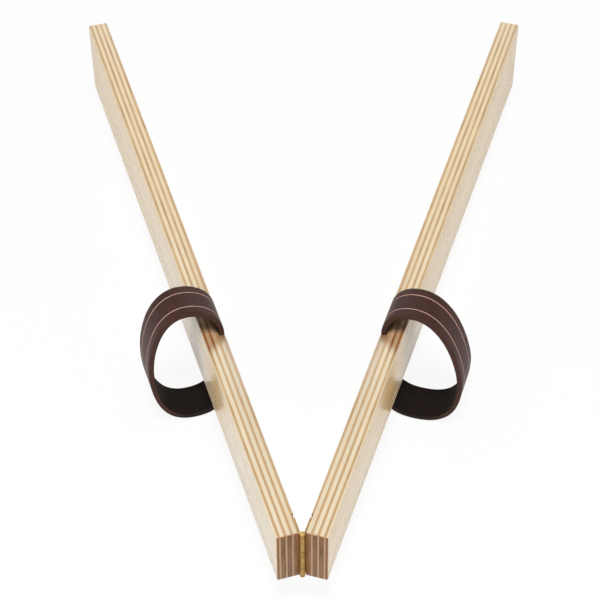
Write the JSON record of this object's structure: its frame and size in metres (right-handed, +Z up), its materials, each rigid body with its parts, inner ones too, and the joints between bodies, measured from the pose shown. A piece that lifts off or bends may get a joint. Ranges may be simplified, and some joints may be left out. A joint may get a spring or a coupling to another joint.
{
  "type": "slapstick",
  "caption": "Two tapered plywood boards hinged at their narrow ends with a brass butt hinge, each with a leather hand loop, clapped together for a whip crack.",
  "frame": {"origin": "middle of the footprint, on the surface that the hand loops stand on", "axes": "+Z up along the hinge pin, +Y from the hinge to the free ends, +X to the right board"},
  "size_m": [0.283, 0.4262, 0.0798],
  "materials": {
    "plywood": "satin, nine-ply birch with the plies bare on the edges",
    "brass": "satin",
    "leather": "smooth dark brown with two pale lines"
  },
  "bodies": {
    "left_half": {"left_board": "plywood", "left_hinge_leaf": "brass", "left_strap": "leather", "left_hinge_screw_1": "brass", "left_hinge_screw_2": "brass", "left_hinge_screw_3": "brass", "left_strap_screw_1": "brass", "left_strap_screw_2": "brass", "left_strap_screw_3": "brass", "left_strap_screw_4": "brass", "hinge_pin": "brass"},
    "right_half": {"right_board": "plywood", "right_hinge_leaf": "brass", "right_strap": "leather", "right_hinge_screw_1": "brass", "right_hinge_screw_2": "brass", "right_hinge_screw_3": "brass", "right_strap_screw_1": "brass", "right_strap_screw_2": "brass", "right_strap_screw_3": "brass", "right_strap_screw_4": "brass"}
  },
  "joints": [
    {"name": "hinge", "type": "hinge", "parent": "left_half", "child": "right_half", "pos_m": [0, -0.20986, 0.04063], "axis": [0, 0, 1], "range_deg": [-146, 34]}
  ]
}
